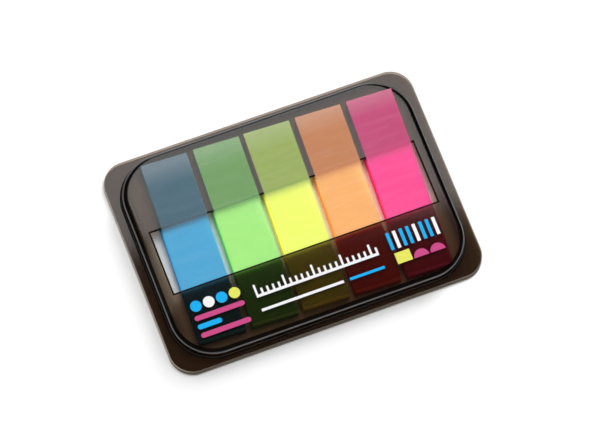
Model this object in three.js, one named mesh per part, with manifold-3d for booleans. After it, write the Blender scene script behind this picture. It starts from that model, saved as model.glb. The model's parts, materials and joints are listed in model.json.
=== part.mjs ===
// Set of five index flag pads in a smoked plastic case with a raised, windowed front.
// Millimetres, +Z up. The set lies on its back, long side along X. The origin is at the
// centre of its footprint, on the surface it lies on.
import * as THREE from 'three';
import { mergeVertices } from 'three/addons/utils/BufferGeometryUtils.js';
import Module from 'manifold-3d';

const wasm = await Module();
wasm.setup();

const radians = THREE.MathUtils.degToRad;

// Flags and pads
const flagWidth = 11.9;
const flagLength = 46.6;
const filmThickness = 0.1;
const padThickness = 2.5;
const padGap = 1.54;
const padShortfall = 0.8;
const padSideSlip = 0.25;
const stripTurn = radians(-2.37);
const rowTurn = radians(-1.6);
const rowShift = new THREE.Vector2(0.9, 0.03);

// One row per colour: the colour, and how far that strip strays along the row
const strips = [
  { name: 'blue', color: 0x41a0d7, stray: 0 },
  { name: 'green', color: 0x96f07d, stray: 0.17 },
  { name: 'yellow', color: 0xf8fa6e, stray: -0.09 },
  { name: 'orange', color: 0xffbe73, stray: -0.07 },
  { name: 'pink', color: 0xfc50a0, stray: 0 },
];

// Card under the pads
const cardThickness = 0.4;
const cardClearance = 0.6;
const cardColor = 0xdcdcd7;

// Case sheets
const sheet = 0.35;
const sheetColors = { front: 0x463a31, back: 0x6b5f55 };
const headRoom = 0.6;
const sideRoom = 3.92;
const endRoom = 1.5;
const shoulderRadius = 1.5;
const footRadius = 0.4;
const wallDraft = radians(4);
const plateauCorner = 9.3;
const flangeSide = 2.08;
const flangeEnd = 1.23;
const flangeCorner = 6;
const backSlip = new THREE.Vector2(-0.2, -0.45);

// Window in the raised face
const windowLength = 16.48;
const windowAboveCentre = -0.52;
const windowSideRoom = 1.79;
const rampClearance = 0.4;

// Ink on the raised face, below the window
const ink = 0.04;
const inkBelowWindow = 3.4;
const inkMargin = 4.5;
const inkGap = 3.2;
const discRadius = 1.45;
const discGap = 0.45;
const barHeight = 1.3;
const barGap = 0.95;
const scaleHeight = 3.4;
const scaleDrop = 1.2;
const tickPitch = 1.5;
const tickWidth = 0.55;
const ticksPerTall = 5;
const shortTickShare = 0.62;
const ruleHeight = 0.7;
const ruleDrop = 7.6;
const ruleGap = 1.6;
const stripeCount = 8;
const stripeWidth = 0.85;
const stripeHeight = 4.6;
const blockHeight = 2.9;
const blockGap = 0.4;
const inkColors = { white: 0xf2f2f2, cyan: 0x00a5e1, yellow: 0xdcdc5a, magenta: 0xc84b82 };

// Worked out from the sizes above
const pitch = flagWidth + padGap;
const rowWidth = strips.length * flagWidth + (strips.length - 1) * padGap;
const flagReach = flagLength + padShortfall;
const plateauHalf = new THREE.Vector2(rowWidth / 2 + sideRoom, flagReach / 2 + endRoom);
const cardTop = sheet + cardThickness;
const padTop = cardTop + padThickness;
const ceiling = padTop + headRoom;
const plateauTop = ceiling + sheet;
const flangeTop = 2 * sheet;
const windowHalfWidth = rowWidth / 2 + windowSideRoom;
const windowNear = windowAboveCentre - windowLength / 2;
const windowFar = windowAboveCentre + windowLength / 2;

const discColors = ['cyan', 'white', 'cyan', 'yellow'];
const discPitch = 2 * discRadius + discGap;
const groupWidth = (discColors.length - 1) * discPitch + 2 * discRadius;

const cornerSteps = 6;
const arcSteps = 6;

// A rounded rectangle about the origin, as a shape
function roundedRectangle(halfX, halfY, radius) {
  const shape = new THREE.Shape();
  const x = halfX - radius;
  const y = halfY - radius;
  shape.absarc(x, y, radius, 0, Math.PI / 2);
  shape.absarc(-x, y, radius, Math.PI / 2, Math.PI);
  shape.absarc(-x, -y, radius, Math.PI, Math.PI * 1.5);
  shape.absarc(x, -y, radius, Math.PI * 1.5, Math.PI * 2);
  shape.closePath();
  return shape;
}

// A flat plate of one outline, its underside at height z
function plate(shape, thickness, z) {
  const options = { depth: thickness, bevelEnabled: false, curveSegments: cornerSteps };
  return new THREE.ExtrudeGeometry(shape, options).translate(0, 0, z);
}

// The outline of one level of the raised face, spread outwards from the flat plateau
function levelOutline(spread) {
  const half = plateauHalf;
  const outline = roundedRectangle(half.x + spread, half.y + spread, plateauCorner + spread);
  const points = outline.getPoints(cornerSteps);
  const last = points[points.length - 1];
  return last.distanceTo(points[0]) < 1e-6 ? points.slice(0, -1) : points;
}

// A solid skinned over a stack of levels, each a spread from the plateau and a height
function skinLevels(levels) {
  const rings = levels.map(({ spread, z }) => levelOutline(spread).map((p) => [p.x, p.y, z]));
  const count = rings[0].length;
  const positions = rings.flat(2);
  const indices = [];
  for (let ring = 0; ring + 1 < rings.length; ring++) {
    for (let i = 0; i < count; i++) {
      const next = (i + 1) % count;
      const a = ring * count + i;
      const b = ring * count + next;
      indices.push(a, b, b + count, a, b + count, a + count);
    }
  }
  const top = (rings.length - 1) * count;
  for (let i = 1; i + 1 < count; i++) {
    indices.push(0, i + 1, i);
    indices.push(top, top + i, top + i + 1);
  }
  const geometry = new THREE.BufferGeometry();
  geometry.setAttribute('position', new THREE.Float32BufferAttribute(positions, 3));
  geometry.setIndex(indices);
  return geometry;
}

// The raised face from its foot to its flat top, as levels. Inset is zero for the outer
// skin and the sheet's thickness for the inner one.
function faceLevels(inset) {
  const shoulder = shoulderRadius - inset;
  const foot = footRadius + inset;
  const shoulderCentre = plateauTop - shoulderRadius;
  const footCentre = flangeTop + footRadius;
  const wallTop = shoulderCentre + shoulder * Math.sin(wallDraft);
  const wallFoot = footCentre - foot * Math.sin(wallDraft);
  const wallSpread = shoulder * Math.cos(wallDraft) + (wallTop - wallFoot) * Math.tan(wallDraft);
  const footSpread = wallSpread + foot * Math.cos(wallDraft);
  const levels = [];
  for (let i = 0; i <= arcSteps; i++) {
    const angle = wallDraft + (Math.PI / 2 - wallDraft) * (1 - i / arcSteps);
    levels.push({
      spread: footSpread - foot * Math.cos(angle),
      z: footCentre - foot * Math.sin(angle),
    });
  }
  for (let i = 0; i <= arcSteps; i++) {
    const angle = wallDraft + ((Math.PI / 2 - wallDraft) * i) / arcSteps;
    levels.push({
      spread: shoulder * Math.cos(angle),
      z: shoulderCentre + shoulder * Math.sin(angle),
    });
  }
  return levels;
}

// How far the foot of the raised face spreads from the plateau
const footSpread = faceLevels(0)[0].spread;
const flangeHalf = new THREE.Vector2(
  plateauHalf.x + footSpread + flangeSide,
  plateauHalf.y + footSpread + flangeEnd,
);

function toManifold(geometry) {
  const bare = geometry.clone();
  bare.deleteAttribute('normal');
  bare.deleteAttribute('uv');
  const merged = mergeVertices(bare, 1e-5);
  return new wasm.Manifold(new wasm.Mesh({
    numProp: 3,
    vertProperties: new Float32Array(merged.attributes.position.array),
    triVerts: new Uint32Array(merged.index.array),
  }));
}

function toGeometry(manifold) {
  const mesh = manifold.getMesh();
  const geometry = new THREE.BufferGeometry();
  geometry.setAttribute('position', new THREE.BufferAttribute(mesh.vertProperties, 3));
  geometry.setIndex(new THREE.BufferAttribute(mesh.triVerts, 1));
  geometry.computeVertexNormals();
  return geometry;
}

// The windowed front: a flat flange round a raised face, one thin sheet all over
function frontCover() {
  const outline = roundedRectangle(flangeHalf.x, flangeHalf.y, flangeCorner);
  const flange = toManifold(plate(outline, sheet, sheet));
  const outer = faceLevels(0);
  const buried = { spread: outer[0].spread, z: flangeTop - sheet / 2 };
  const raised = toManifold(skinLevels([buried, ...outer]));
  const inner = faceLevels(sheet);
  const below = { spread: inner[0].spread, z: 0 };
  const hollow = toManifold(skinLevels([below, ...inner]));
  const opening = new THREE.BoxGeometry(2 * windowHalfWidth, windowLength, 4 * sheet);
  opening.translate(0, windowAboveCentre, plateauTop);
  return toGeometry(flange.add(raised).subtract(hollow).subtract(toManifold(opening)));
}

// The flat back sheet, which sits a little out of line with the front
function backCover() {
  const outline = roundedRectangle(flangeHalf.x, flangeHalf.y, flangeCorner);
  return plate(outline, sheet, 0).translate(backSlip.x, backSlip.y, 0);
}

// The card fills the raised face, clear of its inner wall
function backingCard() {
  const spread = faceLevels(sheet)[arcSteps].spread - cardClearance;
  const half = plateauHalf;
  const outline = roundedRectangle(half.x + spread, half.y + spread, plateauCorner + spread);
  return plate(outline, cardThickness, sheet);
}

// A pad of films, its near end at y = 0 and its left edge at x = 0
function flagPad() {
  const pad = new THREE.BoxGeometry(flagWidth, flagLength, padThickness);
  return pad.translate(flagWidth / 2, flagLength / 2, cardTop + padThickness / 2);
}

// The film drawn out of the window: flat on its pad, up through the window, then flat on
// the raised face. Its bend lies between the two given distances along the strip.
function topFlag(bendStart, bendEnd) {
  const start = padShortfall;
  const end = padShortfall + flagLength;
  const bendSteps = 16;
  const centre = [[start, padTop]];
  for (let i = 0; i <= bendSteps; i++) {
    const t = i / bendSteps;
    const rise = THREE.MathUtils.smoothstep(t, 0, 1);
    const height = THREE.MathUtils.lerp(padTop, plateauTop, rise);
    centre.push([THREE.MathUtils.lerp(bendStart, bendEnd, t), height]);
  }
  centre.push([end, plateauTop]);
  const under = centre.map(([y, z]) => new THREE.Vector2(y, z));
  const over = centre.map(([y, z]) => new THREE.Vector2(y, z + filmThickness)).reverse();
  const profile = new THREE.Shape([...under, ...over]);
  const film = new THREE.ExtrudeGeometry(profile, { depth: flagWidth, bevelEnabled: false });
  return film.rotateY(Math.PI / 2).rotateX(Math.PI / 2).translate(padSideSlip, 0, 0);
}

function named(name, geometry, color, roughness) {
  const material = new THREE.MeshStandardMaterial({ color, roughness, metalness: 0 });
  const mesh = new THREE.Mesh(geometry, material);
  mesh.name = name;
  return mesh;
}

// One strip's place: its pad and its drawn film, turned together in the case
function stripGroup(strip, index) {
  const along = (index - (strips.length - 1) / 2) * pitch + strip.stray;
  const group = new THREE.Group();
  group.rotation.z = stripTurn;
  const middle = new THREE.Vector2(along, 0).rotateAround(new THREE.Vector2(), rowTurn);
  middle.add(rowShift);
  const corner = new THREE.Vector2(-flagWidth / 2 - padSideSlip, -flagReach / 2);
  corner.rotateAround(new THREE.Vector2(), stripTurn).add(middle);
  group.position.set(corner.x, corner.y, 0);
  const skew = (Math.abs(Math.tan(stripTurn)) * flagWidth) / 2;
  const alongStrip = (y) => (y - middle.y) / Math.cos(stripTurn) + flagReach / 2;
  const bendStart = alongStrip(windowNear) + skew + rampClearance;
  const bendEnd = alongStrip(windowFar) - skew - rampClearance;
  group.add(named(`flag_pad_${strip.name}`, flagPad(), strip.color, 0.5));
  group.add(named(`top_flag_${strip.name}`, topFlag(bendStart, bendEnd), strip.color, 0.55));
  return group;
}

function disc(radius, x, y) {
  const shape = new THREE.Shape();
  shape.absarc(x, y, radius, 0, Math.PI * 2);
  return shape;
}

function halfDisc(radius, x, y) {
  const shape = new THREE.Shape();
  shape.absarc(x, y, radius, 0, Math.PI);
  shape.closePath();
  return shape;
}

// A bar with round ends, a hair short of a full half circle so that no edge has zero length
function bar(width, height, x, y) {
  const endRadius = Math.min(width, height) * 0.499;
  const shape = roundedRectangle(width / 2, height / 2, endRadius);
  const points = shape.getPoints(cornerSteps).map((p) => p.add(new THREE.Vector2(x, y)));
  return new THREE.Shape(points);
}

function block(width, height, x, y) {
  const xs = [x - width / 2, x + width / 2];
  const ys = [y - height / 2, y + height / 2];
  const corners = [[xs[0], ys[0]], [xs[1], ys[0]], [xs[1], ys[1]], [xs[0], ys[1]]];
  return new THREE.Shape(corners.map(([u, v]) => new THREE.Vector2(u, v)));
}

// A plain scale: ticks standing on one thin rule, the first of each few tall
function tickScale(width, height, x, y) {
  const count = Math.floor((width - tickWidth) / tickPitch) + 1;
  const left = x - ((count - 1) * tickPitch + tickWidth) / 2;
  const right = left + (count - 1) * tickPitch + tickWidth;
  const foot = y - height / 2;
  const shape = new THREE.Shape();
  shape.moveTo(left, foot);
  shape.lineTo(right, foot);
  for (let i = count - 1; i >= 0; i--) {
    const reach = i % ticksPerTall === 0 ? height : height * shortTickShare;
    const edge = left + i * tickPitch;
    shape.lineTo(edge + tickWidth, foot + reach);
    shape.lineTo(edge, foot + reach);
    if (i > 0) {
      shape.lineTo(edge, foot + ruleHeight);
      shape.lineTo(edge - tickPitch + tickWidth, foot + ruleHeight);
    }
  }
  shape.closePath();
  return shape;
}

// At the left, a row of discs over rounded bars
function leftInk(left, top) {
  const discs = discColors.map((color, i) => {
    const shape = disc(discRadius, left + discRadius + i * discPitch, top - discRadius);
    return { name: `print_disc_${i + 1}`, color, shape };
  });
  const barTop = top - 2 * discRadius - barGap;
  const bars = ['magenta', 'cyan', 'magenta'].map((color, i) => {
    const width = color === 'cyan' ? groupWidth - 2 * discPitch : groupWidth;
    const y = barTop - barHeight / 2 - i * (barHeight + barGap);
    return { name: `print_bar_${i + 1}`, color, shape: bar(width, barHeight, left + width / 2, y) };
  });
  return [...discs, ...bars];
}

// In the middle, a scale over two plain rules
function middleInk(left, right, top) {
  const middle = (left + right) / 2;
  const scaleY = top - scaleDrop - scaleHeight / 2;
  const longRule = ((right - left) * 2) / 3;
  const shortRule = right - left - longRule - ruleGap;
  const ruleY = top - ruleDrop - ruleHeight / 2;
  const longShape = block(longRule, ruleHeight, left + longRule / 2, ruleY);
  const shortShape = block(shortRule, ruleHeight, right - shortRule / 2, ruleY);
  return [
    { name: 'print_scale', color: 'white', shape: tickScale(right - left, scaleHeight, middle, scaleY) },
    { name: 'print_rule_long', color: 'white', shape: longShape },
    { name: 'print_rule_short', color: 'cyan', shape: shortShape },
  ];
}

// At the right, upright stripes over a block and two half discs
function rightInk(right, top) {
  const left = right - groupWidth;
  const stripePitch = (groupWidth - stripeWidth) / (stripeCount - 1);
  const shapes = [];
  for (let i = 0; i < stripeCount; i++) {
    const x = left + stripeWidth / 2 + i * stripePitch;
    const shape = block(stripeWidth, stripeHeight, x, top - stripeHeight / 2);
    shapes.push({ name: `print_stripe_${i + 1}`, color: i % 3 === 1 ? 'white' : 'cyan', shape });
  }
  const third = groupWidth / 3;
  const foot = top - stripeHeight - barGap - blockHeight;
  const blockShape = block(third - blockGap, blockHeight, left + third / 2, foot + blockHeight / 2);
  shapes.push({ name: 'print_block', color: 'yellow', shape: blockShape });
  for (let i = 0; i < 2; i++) {
    const shape = halfDisc((third - blockGap) / 2, left + third * (1.5 + i), foot);
    shapes.push({ name: `print_half_disc_${i + 1}`, color: 'magenta', shape });
  }
  return shapes;
}

function inkShapes() {
  const top = windowNear - inkBelowWindow;
  const left = -plateauHalf.x + inkMargin;
  const right = plateauHalf.x - inkMargin;
  const middleLeft = left + groupWidth + inkGap;
  const middleRight = right - groupWidth - inkGap;
  return [
    ...leftInk(left, top),
    ...middleInk(middleLeft, middleRight, top),
    ...rightInk(right, top),
  ];
}

const sleeve = new THREE.Group();
sleeve.add(named('back_cover', backCover(), sheetColors.back, 0.15));
sleeve.add(named('backing_card', backingCard(), cardColor, 0.8));
sleeve.add(named('front_cover', frontCover(), sheetColors.front, 0.12));
strips.forEach((strip, index) => sleeve.add(stripGroup(strip, index)));
for (const { name, color, shape } of inkShapes()) {
  sleeve.add(named(name, plate(shape, ink, plateauTop), inkColors[color], 0.4));
}
sleeve.position.set(-backSlip.x / 2, -backSlip.y / 2, 0);

const stickyNoteSet = new THREE.Group();
stickyNoteSet.add(sleeve);

export default stickyNoteSet;
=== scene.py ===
import json
import math
import random

import bmesh
import bpy
from mathutils import Matrix, Quaternion, Vector


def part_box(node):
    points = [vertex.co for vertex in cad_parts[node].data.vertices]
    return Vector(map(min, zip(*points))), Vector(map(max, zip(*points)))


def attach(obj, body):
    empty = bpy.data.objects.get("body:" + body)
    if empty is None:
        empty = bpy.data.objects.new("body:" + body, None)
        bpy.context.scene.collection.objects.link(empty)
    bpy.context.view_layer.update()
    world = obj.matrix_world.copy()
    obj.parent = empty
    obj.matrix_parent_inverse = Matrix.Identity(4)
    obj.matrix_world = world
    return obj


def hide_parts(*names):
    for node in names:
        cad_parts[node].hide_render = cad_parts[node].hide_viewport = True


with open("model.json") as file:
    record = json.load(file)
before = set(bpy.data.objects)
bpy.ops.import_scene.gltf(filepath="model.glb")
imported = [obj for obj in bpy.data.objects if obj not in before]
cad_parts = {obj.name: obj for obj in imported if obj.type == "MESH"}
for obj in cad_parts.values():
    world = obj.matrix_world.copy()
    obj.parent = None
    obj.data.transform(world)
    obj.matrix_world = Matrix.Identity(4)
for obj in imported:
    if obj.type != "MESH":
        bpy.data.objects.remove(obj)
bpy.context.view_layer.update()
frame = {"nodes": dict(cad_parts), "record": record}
nodes = frame["nodes"]
MM = 0.001

# Sizes of the case that its boxes don't give
SHOULDER = 1.5 * MM
FOOT = 0.4 * MM
DRAFT = math.radians(4)
PLATEAU_CORNER = 9.3 * MM
FLANGE_CORNER = 6 * MM
FLANGE_SIDE = 2.08 * MM
FLANGE_END = 1.23 * MM

# Strips of cut edge that show from above, at the flange's rim and round the window; the strip
# round the window is near black, painted shade for the dark look of the window's edge
LIP = 0.17 * MM
WINDOW_LIP = 0.40 * MM

# How far cut edges are rounded, and how far in the flat top is held flat by its own ring
CUT_ROUND = 0.08 * MM
CUT_MIDDLE = 0.3 * CUT_ROUND
CARD_ROUND = 0.06 * MM
SUPPORT_INSET = 0.2 * MM

# How finely a corner, a bend and a side of the window are divided
CORNER_STEPS = 24
ARC_STEPS = 12
SIDE_STEPS = 24

# Heights closer than this are the same
SAME = 1e-6

# The window's corners lie at least this far in from the flat top's sides
WINDOW_SIDE_MARGIN = 1 * MM

# Air left between faces that touch, so that light meets each of them
AIR = 0.01 * MM

back_low, back_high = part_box("back_cover")
front_low, front_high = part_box("front_cover")
card_low, card_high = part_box("backing_card")
SHEET = back_high.z - back_low.z
PLATEAU = front_high.z
FLANGE_TOP = front_low.z + SHEET


def face_levels():
    """The raised face from foot to flat top, as pairs of spread from the plateau and height."""
    shoulder_z = PLATEAU - SHOULDER
    foot_z = FLANGE_TOP + FOOT
    wall_top = shoulder_z + SHOULDER * math.sin(DRAFT)
    wall_foot = foot_z - FOOT * math.sin(DRAFT)
    wall = SHOULDER * math.cos(DRAFT) + (wall_top - wall_foot) * math.tan(DRAFT)
    foot_spread = wall + FOOT * math.cos(DRAFT)
    levels = []
    for i in range(ARC_STEPS + 1):
        angle = DRAFT + (math.pi / 2 - DRAFT) * (1 - i / ARC_STEPS)
        levels.append((foot_spread - FOOT * math.cos(angle), foot_z - FOOT * math.sin(angle)))
    for i in range(ARC_STEPS + 1):
        angle = DRAFT + (math.pi / 2 - DRAFT) * i / ARC_STEPS
        levels.append((SHOULDER * math.cos(angle), shoulder_z + SHOULDER * math.sin(angle)))
    return levels


front_centre = (front_low + front_high) / 2
FLANGE_HALF = (front_high - front_low) / 2
FOOT_SPREAD = face_levels()[0][0]
PLATEAU_HALF = Vector((
    FLANGE_HALF.x - FLANGE_SIDE - FOOT_SPREAD,
    FLANGE_HALF.y - FLANGE_END - FOOT_SPREAD,
))


def window_corners():
    """The window's corners, read from the inner corners of the cover's flat top."""
    low, high = Vector((1, 1)), Vector((-1, -1))
    for vertex in nodes["front_cover"].data.vertices:
        x, y, z = vertex.co
        inside_x = abs(x - front_centre.x) < PLATEAU_HALF.x - WINDOW_SIDE_MARGIN
        inside_y = abs(y - front_centre.y) < PLATEAU_HALF.y - PLATEAU_CORNER
        if abs(z - PLATEAU) < SAME and inside_x and inside_y:
            low = Vector((min(low.x, x), min(low.y, y)))
            high = Vector((max(high.x, x), max(high.y, y)))
    return low, high


WINDOW_LOW, WINDOW_HIGH = window_corners()


# The photograph's camera, fitted to the straight edges of the case

LENS_PIXELS = 3885.1
IMAGE_WIDTH = 600
AZIMUTH = math.radians(-31.096)
ELEVATION = math.radians(71.150)
ROLL = math.radians(10.454)
DISTANCE = 955.65 * MM
AIM = Vector((1.385, -1.283, 0.7)) * MM


def make_camera():
    data = bpy.data.cameras.new("camera")
    data.sensor_width = 36
    data.lens = LENS_PIXELS * data.sensor_width / IMAGE_WIDTH
    data.clip_start = 0.01
    data.clip_end = 20
    camera = bpy.data.objects.new("camera", data)
    level = math.cos(ELEVATION)
    back = Vector((math.sin(AZIMUTH) * level, -math.cos(AZIMUTH) * level, math.sin(ELEVATION)))
    right = Vector((0, 0, 1)).cross(back).normalized()
    up = back.cross(right)
    turned_right = right * math.cos(ROLL) + up * math.sin(ROLL)
    turned_up = up * math.cos(ROLL) - right * math.sin(ROLL)
    axes = Matrix((turned_right, turned_up, back)).transposed().to_4x4()
    camera.matrix_world = Matrix.Translation(AIM + back * DISTANCE) @ axes
    bpy.context.scene.collection.objects.link(camera)
    bpy.context.scene.camera = camera


# Material helpers

class Nodes:
    """A new material's node tree, with short calls for its nodes and links."""

    def __init__(self, name):
        self.material = bpy.data.materials.new(name)
        self.material.use_nodes = True
        self.tree = self.material.node_tree
        self.tree.nodes.clear()
        self.output = self.add("ShaderNodeOutputMaterial")

    def add(self, kind, **values):
        node = self.tree.nodes.new(kind)
        for key, value in values.items():
            if key in node.inputs:
                node.inputs[key].default_value = value
            else:
                setattr(node, key, value)
        return node

    def link(self, source, target):
        self.tree.links.new(source, target)

    def noise(self, scale, detail=3.0, roughness=0.5, stretch=(1, 1, 1)):
        """Noise over the object's own space, as many to the metre as scale says."""
        place = self.add("ShaderNodeTexCoord")
        mapping = self.add("ShaderNodeMapping")
        mapping.inputs["Scale"].default_value = stretch
        self.link(place.outputs["Object"], mapping.inputs["Vector"])
        noise = self.add("ShaderNodeTexNoise", Scale=scale, Detail=detail, Roughness=roughness)
        self.link(mapping.outputs["Vector"], noise.inputs["Vector"])
        return noise.outputs["Fac"]

    def ramp(self, factor, low, high, start=0.3, end=0.7):
        ramp = self.add("ShaderNodeValToRGB")
        ramp.color_ramp.elements[0].position = start
        ramp.color_ramp.elements[0].color = (*low, 1)
        ramp.color_ramp.elements[1].position = end
        ramp.color_ramp.elements[1].color = (*high, 1)
        self.link(factor, ramp.inputs["Fac"])
        return ramp.outputs["Color"]

    def bump(self, height, distance, strength=1.0, under=None):
        bump = self.add("ShaderNodeBump", Distance=distance, Strength=strength)
        self.link(height, bump.inputs["Height"])
        if under:
            self.link(under, bump.inputs["Normal"])
        return bump.outputs["Normal"]

    def mix(self, factor, first, second):
        mix = self.add("ShaderNodeMixShader")
        if isinstance(factor, float):
            mix.inputs[0].default_value = factor
        else:
            self.link(factor, mix.inputs[0])
        self.link(first, mix.inputs[1])
        self.link(second, mix.inputs[2])
        return mix.outputs["Shader"]

    def axis(self, kind, axis):
        """One axis of the object's own coordinates or of its normal."""
        place = self.add("ShaderNodeTexCoord")
        axes = self.add("ShaderNodeSeparateXYZ")
        self.link(place.outputs[kind], axes.inputs[0])
        return axes.outputs[axis]

    def rise(self, value, low, high, bottom=0.0, top=1.0):
        """Goes from bottom to top while the value goes from low to high."""
        rise = self.add("ShaderNodeMapRange")
        rise.inputs["From Min"].default_value = low
        rise.inputs["From Max"].default_value = high
        rise.inputs["To Min"].default_value = bottom
        rise.inputs["To Max"].default_value = top
        self.link(value, rise.inputs["Value"])
        return rise.outputs[0]

    def compute(self, operation, *values):
        """A sum such as MULTIPLY on one or two values, each a socket or a plain number."""
        node = self.add("ShaderNodeMath", operation=operation)
        for value, socket in zip(values, node.inputs):
            if isinstance(value, float):
                socket.default_value = value
            else:
                self.link(value, socket)
        return node.outputs[0]

    def multiply(self, first, second):
        """The product of two colours."""
        product = self.add("ShaderNodeMix", data_type="RGBA", blend_type="MULTIPLY")
        product.inputs["Factor"].default_value = 1
        self.link(first, product.inputs["A"])
        self.link(second, product.inputs["B"])
        return product.outputs["Result"]

    def finish(self, shader):
        self.link(shader, self.output.inputs["Surface"])
        return self.material


def shade(color, factor):
    return tuple(min(1.0, c * factor) for c in color)


def grey(level):
    return (level, level, level)


# How level a face lies, from 0 for upright to 1 for flat, and its share of the full tint there;
# the small shares are painted shade for the dark look of the sheet's bends
BEND_PAINTED_SHADE = ((0.35, 0.4), (0.5, 0.08), (0.96, 0.08), (0.985, 0.9))
UPRIGHT_PAINTED_SHADE = 0.5

# The painted highlight along the wall, for the white floor's reflection: how level the wall lies
# there, its colour and its strength
WALL_PAINTED_HIGHLIGHT = (0.25, 0.5)
WALL_PAINTED_HIGHLIGHT_FADE = 0.1
WALL_PAINTED_HIGHLIGHT_COLOR = (0.30, 0.31, 0.33)
WALL_PAINTED_HIGHLIGHT_SHARE = 0.3

SHEET_ROUGHNESS = 0.075
SHEET_IOR = 1.6
HAZE_SHARE = 0.006


def smoked_film(name, tint, haze):
    """Clear tinted sheet with a slight haze. Its bends are darkened by painted shade, and a
    painted highlight runs along the wall.
    """
    n = Nodes(name)
    waves = n.noise(60, 2.0, 0.4)
    grain = n.noise(2500, 2.0)
    normal = n.bump(grain, 0.004 * MM, 0.5, n.bump(waves, 0.06 * MM, 0.5))
    geometry = n.add("ShaderNodeNewGeometry")
    upright = n.add("ShaderNodeSeparateXYZ")
    n.link(geometry.outputs["Normal"], upright.inputs[0])
    level = n.compute("ABSOLUTE", upright.outputs["Z"])
    clear = n.add("ShaderNodeBsdfTransparent")
    # Painted shade: the see-through tint is darkened by how steeply the face lies
    painted_bend_shade = n.ramp(level, shade(tint, UPRIGHT_PAINTED_SHADE), tint, 0.0, 1.0)
    for position, share in BEND_PAINTED_SHADE:
        stop = painted_bend_shade.node.color_ramp.elements.new(position)
        stop.color = (*shade(tint, share), 1)
    n.link(painted_bend_shade, clear.inputs["Color"])
    dull = n.add("ShaderNodeBsdfDiffuse")
    n.link(n.ramp(n.noise(180), shade(haze, 0.85), shade(haze, 1.1)), dull.inputs["Color"])
    gloss = n.add("ShaderNodeBsdfGlossy", Roughness=SHEET_ROUGHNESS)
    n.link(normal, gloss.inputs["Normal"])
    fresnel = n.add("ShaderNodeFresnel", IOR=SHEET_IOR)
    n.link(normal, fresnel.inputs["Normal"])
    body = n.mix(HAZE_SHARE, clear.outputs[0], dull.outputs[0])
    # Painted highlight: a pale diffuse line where the wall lies at the slopes above
    pale = n.add("ShaderNodeBsdfDiffuse", Color=(*WALL_PAINTED_HIGHLIGHT_COLOR, 1))
    start, end = WALL_PAINTED_HIGHLIGHT[0] - WALL_PAINTED_HIGHLIGHT_FADE, WALL_PAINTED_HIGHLIGHT[1] + WALL_PAINTED_HIGHLIGHT_FADE
    line = n.ramp(level, grey(0), grey(0), start, end)
    for position in WALL_PAINTED_HIGHLIGHT:
        stop = line.node.color_ramp.elements.new(position)
        stop.color = (*grey(WALL_PAINTED_HIGHLIGHT_SHARE), 1)
    body = n.mix(line, body, pale.outputs[0])
    return n.finish(n.mix(fresnel.outputs[0], body, gloss.outputs[0]))


# Painted shade and light on a cut edge: its share of its colour where it faces right and where it
# faces left, on the right and on the left of the case
EDGE_PAINTED_SHADE = 0.2
EDGE_PAINTED_LIGHT = 1.6

# How far an edge has to face left before its painted light starts, and before its painted glow
# starts
EDGE_PAINTED_LIGHT_FROM = 0.3
EDGE_PAINTED_GLOW_FROM = 0.65


def cut_edge(name, color, clear_share, gloss=0.5, painted_glow=0.0):
    """The sheet's cut edge, with painted light and shade: dark where it faces right, pale and with
    a painted glow where it faces left, for light taken in on the right and let out on the left.
    """
    n = Nodes(name)
    leftward = n.rise(n.axis("Normal", "X"), 1, -1)
    dark, light = shade(color, EDGE_PAINTED_SHADE), shade(color, EDGE_PAINTED_LIGHT)
    painted_edge_light = n.ramp(leftward, dark, light, EDGE_PAINTED_LIGHT_FROM, 1.0)
    grain = n.ramp(n.noise(900), grey(0.8), grey(1))
    paint = n.multiply(painted_edge_light, grain)
    dull = n.add("ShaderNodeBsdfPrincipled", Roughness=0.4)
    dull.inputs["Specular IOR Level"].default_value = gloss
    n.link(paint, dull.inputs["Base Color"])
    n.link(paint, dull.inputs["Emission Color"])
    n.link(n.rise(leftward, EDGE_PAINTED_GLOW_FROM, 1, top=painted_glow), dull.inputs["Emission Strength"])
    clear = n.add("ShaderNodeBsdfTransparent")
    n.link(painted_edge_light, clear.inputs["Color"])
    return n.finish(n.mix(clear_share, dull.outputs[0], clear.outputs[0]))


# Painted shade on a film where it lies over the cover, beyond the window: the share of its colour
# it keeps
OVER_COVER_PAINTED_SHADE = 0.9

# Where the painted shade ends at the window's near edge and starts at its far edge, along Y from
# each
NEAR_SHADE = (-0.6 * MM, 0.2 * MM)
FAR_SHADE = (-0.5 * MM, 1.5 * MM)

# How strong the pale streaks in a drawn film get, and the painted sheen on its far end, for the
# light its curled end catches
STREAK_SHARE = 0.016
FAR_END_PAINTED_SHEEN = 0.1
FAR_END = (PLATEAU_HALF.y - 7 * MM, PLATEAU_HALF.y - 2 * MM)

# The painted glow of a pad's sides, for light caught in the stack, and where it fades, along Y
# from the window's far edge
SIDE_PAINTED_GLOW = 0.32
PAINTED_GLOW_FADE = (0.5 * MM, -3 * MM)


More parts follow.
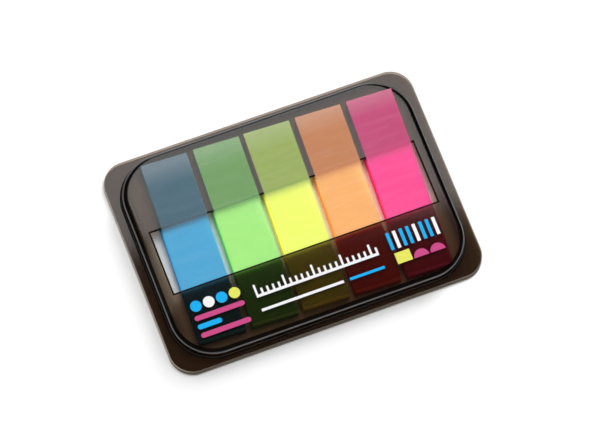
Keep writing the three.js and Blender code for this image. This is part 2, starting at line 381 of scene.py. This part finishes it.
def film_surface(n, color, painted_shade, painted_glow=0.0):
    """Coloured plastic film with a fine frosted grain and faint streaks.

    Painted shade makes the film deeper under the cover and a little darker over it beyond
    the window. A pad's sides carry a painted glow in the window, for the light caught in them.
    """
    y = n.axis("Object", "Y")
    in_window = n.rise(y, WINDOW_LOW.y + NEAR_SHADE[0], WINDOW_LOW.y + NEAR_SHADE[1])
    over_cover = n.rise(y, WINDOW_HIGH.y + FAR_SHADE[0], WINDOW_HIGH.y + FAR_SHADE[1])
    # Painted shade: deeper under the cover below the window, a little darker over the cover beyond
    # it
    painted_shade_factor = n.multiply(
        n.ramp(in_window, painted_shade, grey(1), 0.0, 1.0),
        n.ramp(over_cover, grey(1), grey(OVER_COVER_PAINTED_SHADE), 0.0, 1.0))
    streaks = n.noise(900, 4.0, 0.6, (0.3, 1, 1))
    grain = n.noise(5200, 2.0)
    normal = n.bump(grain, 0.02 * MM, 0.6, n.bump(streaks, 0.05 * MM, 0.4))
    surface = n.add("ShaderNodeBsdfPrincipled", Roughness=0.5, IOR=1.5)
    paint = n.multiply(n.ramp(streaks, shade(color, 0.96), shade(color, 1.03)), painted_shade_factor)
    n.link(paint, surface.inputs["Base Color"])
    n.link(normal, surface.inputs["Normal"])
    # Painted glow on a pad's sides in the window, for the light caught in them
    if painted_glow:
        fade_start, fade_end = WINDOW_HIGH.y + PAINTED_GLOW_FADE[0], WINDOW_HIGH.y + PAINTED_GLOW_FADE[1]
        fading = n.rise(y, fade_start, fade_end, top=painted_glow)
        n.link(paint, surface.inputs["Emission Color"])
        n.link(n.compute("MULTIPLY", in_window, fading), surface.inputs["Emission Strength"])
    return surface.outputs[0]


def pad_film(name, color, painted_shade, painted_glow=0.0):
    """A pad of films, which nothing shows through."""
    n = Nodes(name)
    return n.finish(film_surface(n, color, painted_shade, painted_glow))


def drawn_film(name, color, opacity, tint, painted_shade):
    """A single film, part see-through, with pale streaks and a painted sheen on its far end."""
    n = Nodes(name)
    clear = n.add("ShaderNodeBsdfTransparent", Color=(*tint, 1))
    body = n.mix(opacity, clear.outputs[0], film_surface(n, color, painted_shade))
    pale = n.add("ShaderNodeBsdfDiffuse", Color=(*grey(0.8), 1))
    lines = n.noise(650, 3.0, 0.6, (0.1, 1, 1))
    streaks = n.ramp(lines, grey(0), grey(STREAK_SHARE), 0.5, 0.64)
    body = n.mix(streaks, body, pale.outputs[0])
    # Painted sheen towards the far end
    far_end_sheen = n.rise(n.axis("Object", "Y"), *FAR_END, top=FAR_END_PAINTED_SHEEN)
    return n.finish(n.mix(far_end_sheen, body, pale.outputs[0]))


# Painted shade on the card: the share of its white left at this distance beyond the window's ends
CARD_PAINTED_SHADE = 0.45
CARD_PAINTED_SHADE_REACH = 2.5 * MM


def card_material():
    """White card, with painted shade beyond the ends of the window, where the raised face shades
    it.
    """
    n = Nodes("white_card")
    fibre = n.noise(1800, 4.0, 0.6, (1, 0.4, 1))
    window_middle = (WINDOW_LOW.x + WINDOW_HIGH.x) / 2
    window_half = (WINDOW_HIGH.x - WINDOW_LOW.x) / 2
    from_middle = n.compute("SUBTRACT", n.axis("Object", "X"), window_middle)
    # Painted shade beyond the window's ends
    light = n.rise(
        n.compute("ABSOLUTE", from_middle), window_half, window_half + CARD_PAINTED_SHADE_REACH,
        1.0, CARD_PAINTED_SHADE)
    card = n.add("ShaderNodeBsdfPrincipled", Roughness=0.8)
    white = n.ramp(fibre, (0.86, 0.86, 0.84), (0.93, 0.93, 0.91))
    n.link(n.multiply(white, light), card.inputs["Base Color"])
    n.link(n.bump(fibre, 0.02 * MM, 0.6), card.inputs["Normal"])
    return n.finish(card.outputs[0])


def ink_material(name, color):
    """Dull printed ink with a slight mottle."""
    n = Nodes(name)
    mottle = n.noise(1600, 3.0)
    ink = n.add("ShaderNodeBsdfPrincipled", Roughness=0.45)
    ink.inputs["Specular IOR Level"].default_value = 0.2
    n.link(n.ramp(mottle, shade(color, 0.94), shade(color, 1.03)), ink.inputs["Base Color"])
    n.link(n.bump(mottle, 0.01 * MM, 0.5), ink.inputs["Normal"])
    return n.finish(ink.outputs[0])


front_film = smoked_film("smoked_sheet", (0.335, 0.245, 0.175), (0.10, 0.085, 0.07))
back_film = smoked_film("pale_smoked_sheet", (0.67, 0.61, 0.54), (0.25, 0.22, 0.2))
# Cut edges: painted light and shade by the way each edge faces, and a painted glow where it faces
# left
front_edge = cut_edge("smoked_cut_edge", (0.48, 0.42, 0.355), 0.25, painted_glow=0.8)
back_edge = cut_edge("pale_cut_edge", (0.42, 0.38, 0.33), 0.35, painted_glow=0.8)
# The window's edge is near black: painted shade for the dark look of the window's rim
window_painted_dark_edge = cut_edge("window_cut_edge_painted_dark", (0.008, 0.007, 0.006), 0.0, gloss=0.05)
card_stock = card_material()

# One film alone: its own colour, how much it covers, and the tint of what shows through
FILM_COLORS = {
    "blue": (0.30, 0.45, 0.58),
    "green": (0.36, 0.76, 0.29),
    "yellow": (0.58, 0.82, 0.24),
    "orange": (0.79, 0.32, 0.15),
    "pink": (0.81, 0.11, 0.28),
}
FILM_OPACITY = {"blue": 0.2, "green": 0.33, "yellow": 0.38, "orange": 0.54, "pink": 0.52}
FILM_TINTS = {
    "blue": (0.5, 0.85, 0.98),
    "green": (0.8, 0.98, 0.7),
    "yellow": (0.99, 0.99, 0.62),
    "orange": (0.99, 0.85, 0.7),
    "pink": (0.99, 0.5, 0.8),
}

# Painted shade on each colour under the cover, on the window's near side: the share of the colour
# that is left
PAINTED_SHADE_UNDER_COVER = {
    "blue": (0.7, 0.8, 1.0),
    "green": (0.5, 0.9, 0.5),
    "yellow": (0.95, 1.0, 0.5),
    "orange": (1.0, 0.1, 0.01),
    "pink": (1.0, 0.25, 0.6),
}

# A whole pad of films, and its sides, whose darker, deeper colour is partly the stack's own edge
# colour and partly painted shade
PAD_COLORS = {
    "blue": (0.045, 0.43, 0.59),
    "green": (0.58, 0.78, 0.36),
    "yellow": (1.0, 0.92, 0.26),
    "orange": (1.0, 0.98, 0.40),
    "pink": (1.0, 0.10, 0.55),
}
SIDE_COLORS_AND_SHADE = {
    "blue": (0.03, 0.25, 0.50),
    "green": (0.15, 0.60, 0.10),
    "yellow": (0.80, 0.70, 0.05),
    "orange": (0.90, 0.30, 0.05),
    "pink": (0.80, 0.01, 0.12),
}

INK_COLORS = {
    "ink_white": (0.69, 0.69, 0.71),
    "ink_cyan": (0.0, 0.32, 0.66),
    "ink_yellow": (0.60, 0.60, 0.09),
    "ink_magenta": (0.45, 0.05, 0.18),
}


# Meshes

CREASE = math.radians(30)


def new_piece(name, verts, faces, replaced, materials, face_slots=None):
    """A mesh object with smooth shading and sharp creases, riding on the root."""
    mesh = bpy.data.meshes.new(name)
    mesh.from_pydata(verts, [], faces)
    for material in materials:
        mesh.materials.append(material)
    for polygon in mesh.polygons:
        polygon.use_smooth = True
        if face_slots:
            polygon.material_index = face_slots[polygon.index]
    work = bmesh.new()
    work.from_mesh(mesh)
    bmesh.ops.recalc_face_normals(work, faces=work.faces)
    work.to_mesh(mesh)
    work.free()
    mesh.set_sharp_from_angle(angle=CREASE)
    piece = bpy.data.objects.new(name, mesh)
    bpy.context.scene.collection.objects.link(piece)
    weighted = piece.modifiers.new("flat_faces_stay_flat", "WEIGHTED_NORMAL")
    weighted.keep_sharp = True
    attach(piece, "root")
    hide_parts(*replaced)


def rounded_rectangle(centre, half_x, half_y, radius, z):
    """The points of a rounded rectangle at height z, counterclockwise."""
    points = []
    for sx, sy, start in ((1, 1, 0), (-1, 1, 90), (-1, -1, 180), (1, -1, 270)):
        for i in range(CORNER_STEPS + 1):
            angle = math.radians(start + 90 * i / CORNER_STEPS)
            x = centre.x + sx * (half_x - radius) + radius * math.cos(angle)
            y = centre.y + sy * (half_y - radius) + radius * math.sin(angle)
            points.append((x, y, z))
    return points


# A sheet's materials, by their place in its list
SHEET_SLOT, EDGE_SLOT, WINDOW_SLOT = range(3)


class Skin:
    """Collects rings of points and the faces between them."""

    def __init__(self):
        self.verts = []
        self.faces = []
        self.slots = []

    def ring(self, points):
        start = len(self.verts)
        self.verts.extend(points)
        return list(range(start, len(self.verts)))

    def join(self, low, high, slot=SHEET_SLOT):
        count = len(low)
        for i in range(count):
            j = (i + 1) % count
            self.faces.append((low[i], low[j], high[j], high[i]))
            self.slots.append(slot)

    def climb(self, rings, slot=SHEET_SLOT):
        """Joins each ring to the next, and gives back the last."""
        for low, high in zip(rings, rings[1:]):
            self.join(low, high, slot)
        return rings[-1]

    def cap(self, ring):
        self.faces.append(tuple(ring))
        self.slots.append(SHEET_SLOT)

    def fill_between(self, outer, inner):
        """Fills the flat ground between a ring and the loop inside it."""
        work = bmesh.new()
        loops = []
        for indices in (outer, inner):
            loop = [work.verts.new(self.verts[i]) for i in indices]
            loops.append(loop)
        edges = []
        for loop in loops:
            for i, vert in enumerate(loop):
                edges.append(work.edges.new((vert, loop[(i + 1) % len(loop)])))
        number = {}
        for indices, loop in zip((outer, inner), loops):
            number.update(zip(loop, indices))
        bmesh.ops.triangle_fill(work, use_beauty=True, use_dissolve=False, edges=edges)
        for face in work.faces:
            self.faces.append(tuple(number[v] for v in face.verts))
            self.slots.append(SHEET_SLOT)
        work.free()


def window_loop(z, spread=0):
    """The window's outline as points, with each side divided."""
    left, near = WINDOW_LOW.x - spread, WINDOW_LOW.y - spread
    right, far = WINDOW_HIGH.x + spread, WINDOW_HIGH.y + spread
    corners = [(left, near), (right, near), (right, far), (left, far)]
    points = []
    for i, (x, y) in enumerate(corners):
        nx, ny = corners[(i + 1) % 4]
        for j in range(SIDE_STEPS):
            t = j / SIDE_STEPS
            points.append((x + (nx - x) * t, y + (ny - y) * t, z))
    return points


def rim_levels(low, high):
    """A sheet's softened cut edge from below to above, as pairs of inset and height."""
    return [
        (CUT_ROUND, low), (CUT_MIDDLE, low + CUT_MIDDLE), (0, low + CUT_ROUND),
        (0, high - CUT_ROUND), (CUT_MIDDLE, high - CUT_MIDDLE), (CUT_ROUND, high)]


def make_front_cover():
    """The cover's outer skin with the sheet's cut edges at the rim and the window."""
    skin = Skin()

    def flange_ring(inset, z):
        return skin.ring(rounded_rectangle(
            front_centre, FLANGE_HALF.x - inset, FLANGE_HALF.y - inset,
            FLANGE_CORNER - inset, z))

    def level_ring(spread, z):
        return skin.ring(rounded_rectangle(
            front_centre, PLATEAU_HALF.x + spread, PLATEAU_HALF.y + spread,
            PLATEAU_CORNER + spread, z))

    rim = rim_levels(front_low.z + AIR, FLANGE_TOP) + [(LIP, FLANGE_TOP)]
    flange = skin.climb([flange_ring(inset, z) for inset, z in rim], EDGE_SLOT)
    raised = [level_ring(spread, z) for spread, z in face_levels()]
    support = level_ring(-SUPPORT_INSET, PLATEAU)
    skin.climb([flange, *raised, support])
    # The strip round the window and its cut edge take the near-black painted shade
    window_lip = skin.ring(window_loop(PLATEAU, WINDOW_LIP))
    skin.fill_between(support, window_lip)
    window_top = skin.ring(window_loop(PLATEAU))
    window_bottom = skin.ring(window_loop(PLATEAU - SHEET))
    skin.climb([window_lip, window_top, window_bottom], WINDOW_SLOT)
    new_piece(
        "front_cover_sheet", skin.verts, skin.faces, ["front_cover"],
        [front_film, front_edge, window_painted_dark_edge], skin.slots)


def make_back_cover():
    """The back sheet's rim and inner face, which carry its whole tint."""
    skin = Skin()
    centre = (back_low + back_high) / 2
    half = (back_high - back_low) / 2

    def ring(inset, z):
        return skin.ring(rounded_rectangle(
            centre, half.x - inset, half.y - inset, FLANGE_CORNER - inset, z))

    rim = rim_levels(back_low.z, back_high.z)[:-1] + [(CUT_ROUND, back_high.z - AIR)]
    skin.cap(skin.climb([ring(inset, z) for inset, z in rim], EDGE_SLOT))
    new_piece(
        "back_cover_sheet", skin.verts, skin.faces, ["back_cover"],
        [back_film, back_edge], skin.slots)


def make_card():
    """The card, with its edges a little softened."""
    skin = Skin()
    centre = (card_low + card_high) / 2
    half = (card_high - card_low) / 2
    corner = PLATEAU_CORNER + half.x - PLATEAU_HALF.x
    levels = (
        (CARD_ROUND, card_low.z), (0, card_low.z + CARD_ROUND),
        (0, card_high.z - CARD_ROUND), (CARD_ROUND, card_high.z))
    rings = [
        skin.ring(rounded_rectangle(centre, half.x - inset, half.y - inset, corner - inset, z))
        for inset, z in levels
    ]
    skin.cap(skin.climb(rings))
    skin.cap(reversed(rings[0]))
    new_piece(
        "card_sheet", skin.verts, skin.faces, ["backing_card"], [card_stock])


class Strip:
    """Where a strip lies: its near left corner, and its directions across and along."""

    def __init__(self, node):
        points = [vertex.co.copy() for vertex in nodes[node].data.vertices]
        self.origin = min(points, key=lambda p: p.x)
        near_right = min(points, key=lambda p: p.y)
        far_left = max(points, key=lambda p: p.y)
        self.width = (near_right - self.origin).xy.length
        self.length = (far_left - self.origin).xy.length
        self.across = (near_right - self.origin).xy / self.width
        self.along = (far_left - self.origin).xy / self.length
        self.bottom = min(p.z for p in points)
        self.top = max(p.z for p in points)
        self.points = points

    def at(self, across, along, z):
        place = self.origin.xy + self.across * across + self.along * along
        return (place.x, place.y, z)

    def distance(self, point):
        return (point.xy - self.origin.xy).dot(self.along)


# The films of a pad: the air between them and how far they slip out of line
FILMS_IN_PAD = 25
AIR_SHARE = 0.25
SIDE_SLIP = 0.05 * MM
END_SLIP = 0.08 * MM
PAD_SEED = 11

# The strip along a film's left edge that has the colour of the pad's sides, painted shade where
# the pad shows beside its drawn film
EDGE = 0.28 * MM


def make_pad(color, seed):
    """A pad as its stack of films, each a hair out of line with the next."""
    strip = Strip(f"flag_pad_{color}")
    rng = random.Random(seed)
    verts, faces, slots = [], [], []
    thickness = (strip.top - strip.bottom) / FILMS_IN_PAD
    for i in range(FILMS_IN_PAD):
        uppermost = i == FILMS_IN_PAD - 1
        inset_x = 0 if uppermost else rng.uniform(0, SIDE_SLIP)
        inset_y = 0 if uppermost else rng.uniform(0, END_SLIP)
        z0 = strip.bottom + i * thickness
        z1 = z0 + thickness - (0 if uppermost else AIR_SHARE * thickness)
        start = len(verts)
        left, right = inset_x, strip.width - inset_x
        near, far = inset_y, strip.length - inset_y
        for z in (z0, z1):
            for x, y in ((left, near), (right, near), (right, far), (left, far)):
                verts.append(strip.at(x, y, z))
        for y in (near, far):
            verts.append(strip.at(left + EDGE, y, z1))
        a, b, c, d, e, f, g, h, i_near, i_far = range(start, start + 10)
        faces += [
            (a, d, c, b), (i_near, f, g, i_far), (e, i_near, i_far, h),
            (a, b, f, i_near, e), (b, c, g, f), (c, d, h, i_far, g), (d, a, e, h)]
        slots += [0, 0, 1, 1, 1, 1, 1]
    new_piece(
        f"pad_{color}", verts, faces, [f"flag_pad_{color}"],
        [pad_film(f"pad_film_{color}", PAD_COLORS[color], PAINTED_SHADE_UNDER_COVER[color]),
         pad_film(f"pad_side_{color}", SIDE_COLORS_AND_SHADE[color], PAINTED_SHADE_UNDER_COVER[color], SIDE_PAINTED_GLOW)], slots)


FLAG_SEED = 31
FLAG_COLUMNS = 12
FLAG_ROWS = 150

# A drawn film's slight waves where it hangs free
FLUTTER = 0.05 * MM
FLUTTER_RATE = 9
FLUTTER_PIVOT = 0.3
LARGEST_PHASE = 6.28

# The far end's curl: where it starts along the film, and its least and most in millimetres
CURL_START = 0.93
CURL = (0.03, 0.07)


def smooth(t):
    """Goes gently from 0 to 1 while t does."""
    t = min(1.0, max(0.0, t))
    return t * t * (3 - 2 * t)


def make_top_flag(color, seed):
    """The drawn film: flat on its pad, up through the window, flat on the raised face."""
    node = f"top_flag_{color}"
    strip = Strip(node)
    low = round(strip.bottom, 6)
    thickness = strip.top - PLATEAU
    bend_start = max(strip.distance(p) for p in strip.points if abs(p.z - low) < SAME)
    bend_end = min(strip.distance(p) for p in strip.points if abs(p.z - PLATEAU) < SAME)
    rng = random.Random(seed)
    phase = rng.uniform(0, LARGEST_PHASE)
    lift = rng.uniform(*CURL) * MM
    columns, rows = FLAG_COLUMNS, FLAG_ROWS

    def height(u, v):
        """Underside of the film at fractions across and along it."""
        along = v * strip.length
        rise = smooth((along - bend_start) / (bend_end - bend_start))
        z = low + (PLATEAU - low) * rise + AIR
        loose = math.sin(math.pi * rise) if 0 < rise < 1 else 0
        z += loose * FLUTTER * math.sin(FLUTTER_RATE * v + phase) * (u - FLUTTER_PIVOT)
        curl = smooth((v - CURL_START) / (1 - CURL_START))
        return max(z, low + AIR) + curl * lift

    verts, faces = [], []
    for side in (0, 1):
        for r in range(rows + 1):
            for c in range(columns + 1):
                u, v = c / columns, r / rows
                z = height(u, v) + side * thickness
                verts.append(strip.at(u * strip.width, v * strip.length, z))
    count = (rows + 1) * (columns + 1)

    def face(*corners):
        """A face through corners given as side, row and column."""
        faces.append(tuple(side * count + r * (columns + 1) + c for side, r, c in corners))

    for r in range(rows):
        for c in range(columns):
            face((1, r, c), (1, r, c + 1), (1, r + 1, c + 1), (1, r + 1, c))
    for r in range(rows):
        for c in (0, columns):
            face((0, r, c), (0, r + 1, c), (1, r + 1, c), (1, r, c))
    for c in range(columns):
        for r in (0, rows):
            face((0, r, c), (0, r, c + 1), (1, r, c + 1), (1, r, c))
    new_piece(
        f"drawn_film_{color}", verts, faces, [node],
        [drawn_film(f"drawn_film_{color}", FILM_COLORS[color], FILM_OPACITY[color],
                    FILM_TINTS[color], PAINTED_SHADE_UNDER_COVER[color])])


def dress_ink():
    """Each ink shape keeps its plate and takes its slot's ink."""
    inks = {slot: ink_material(slot, color) for slot, color in INK_COLORS.items()}
    slots = {part["node"]: part["material_slot"] for part in frame["record"]["subparts"]}
    for name, node in nodes.items():
        if name.startswith("print_"):
            node.data.materials.clear()
            node.data.materials.append(inks[slots[name]])


# Floor, lamps and world

# The floor's half width in metres, and the distances between which its shading fades out
FLOOR_REACH = 3.0
SHADOW_REACH = 0.1
PLAIN_REACH = 0.2

# How bright the room is, on dull faces and in the mirror of glossy ones
FILL = 0.42
DARK_ROOM = 0.035


def make_floor():
    """A white floor that takes the shadow. Away from the set it is plain white to the camera."""
    mesh = bpy.data.meshes.new("floor")
    z = -2 * AIR
    corners = [
        (sx * FLOOR_REACH, sy * FLOOR_REACH, z) for sx, sy in ((-1, -1), (1, -1), (1, 1), (-1, 1))]
    mesh.from_pydata(corners, [], [(0, 1, 2, 3)])
    n = Nodes("floor")
    dull = n.add("ShaderNodeBsdfDiffuse")
    n.link(n.ramp(n.noise(40), grey(0.80), grey(0.82)), dull.inputs["Color"])
    place = n.add("ShaderNodeTexCoord")
    distance = n.add("ShaderNodeVectorMath", operation="LENGTH")
    n.link(place.outputs["Object"], distance.inputs[0])
    away = n.rise(distance.outputs["Value"], SHADOW_REACH, PLAIN_REACH)
    path = n.add("ShaderNodeLightPath")
    plain = n.compute("MULTIPLY", away, path.outputs["Is Camera Ray"])
    white = n.add("ShaderNodeEmission", Color=(1, 1, 1, 1))
    mesh.materials.append(n.finish(n.mix(plain, dull.outputs[0], white.outputs[0])))
    floor = bpy.data.objects.new("floor", mesh)
    bpy.context.scene.collection.objects.link(floor)


def make_lamp(name, place, size, power, aim=(0, 0, 0), turn=0, mirrored=True):
    """A rectangular lamp, turned about the vertical, which the camera doesn't see."""
    data = bpy.data.lights.new(name, "AREA")
    data.shape = "RECTANGLE"
    data.size, data.size_y = size
    data.energy = power
    lamp = bpy.data.objects.new(name, data)
    lamp.location = place
    pointing = (Vector(aim) - Vector(place)).to_track_quat("-Z", "Y")
    turned = Quaternion((0, 0, 1), math.radians(turn)) @ pointing
    lamp.rotation_euler = turned.to_euler()
    lamp.visible_glossy = mirrored
    lamp.visible_camera = False
    bpy.context.scene.collection.objects.link(lamp)


def make_world():
    """White to the camera, dim in mirrored light, and a plain fill for the rest."""
    world = bpy.data.worlds.new("studio")
    bpy.context.scene.world = world
    world.use_nodes = True
    tree = world.node_tree
    background = tree.nodes["Background"]
    background.inputs["Color"].default_value = (1, 1, 1, 1)
    path = tree.nodes.new("ShaderNodeLightPath")
    gloss = tree.nodes.new("ShaderNodeMath")
    gloss.operation = "MULTIPLY_ADD"
    gloss.inputs[1].default_value = DARK_ROOM - FILL
    gloss.inputs[2].default_value = FILL
    tree.links.new(path.outputs["Is Glossy Ray"], gloss.inputs[0])
    seen = tree.nodes.new("ShaderNodeMath")
    seen.operation = "MAXIMUM"
    tree.links.new(path.outputs["Is Camera Ray"], seen.inputs[0])
    tree.links.new(gloss.outputs[0], seen.inputs[1])
    tree.links.new(seen.outputs[0], background.inputs["Strength"])


# The softbox's mirror image is the grey veil on the far half of the case
SOFTBOX = (0.158, 0.59, 0.5)
SOFTBOX_SPOT = (*SOFTBOX[:2], 0)

make_camera()
make_front_cover()
make_back_cover()
make_card()
for number, color in enumerate(FILM_COLORS):
    make_pad(color, PAD_SEED + number)
    make_top_flag(color, FLAG_SEED + number)
dress_ink()
make_floor()
make_world()
make_lamp("softbox", SOFTBOX, size=(0.245, 0.9), power=1.67, aim=SOFTBOX_SPOT, turn=-12)
make_lamp("key", (0.25, 0.35, 1.1), size=(0.7, 0.7), power=4.5, mirrored=False)
make_lamp("side", (1.6, 1.35, 1.0), size=(0.9, 0.9), power=68.0, mirrored=False)
make_lamp("back wall", (0.1, 1.6, 0.3), size=(2.0, 0.6), power=2.4, aim=(0, 0, 0.1))
bpy.context.scene.view_settings.view_transform = "Standard"
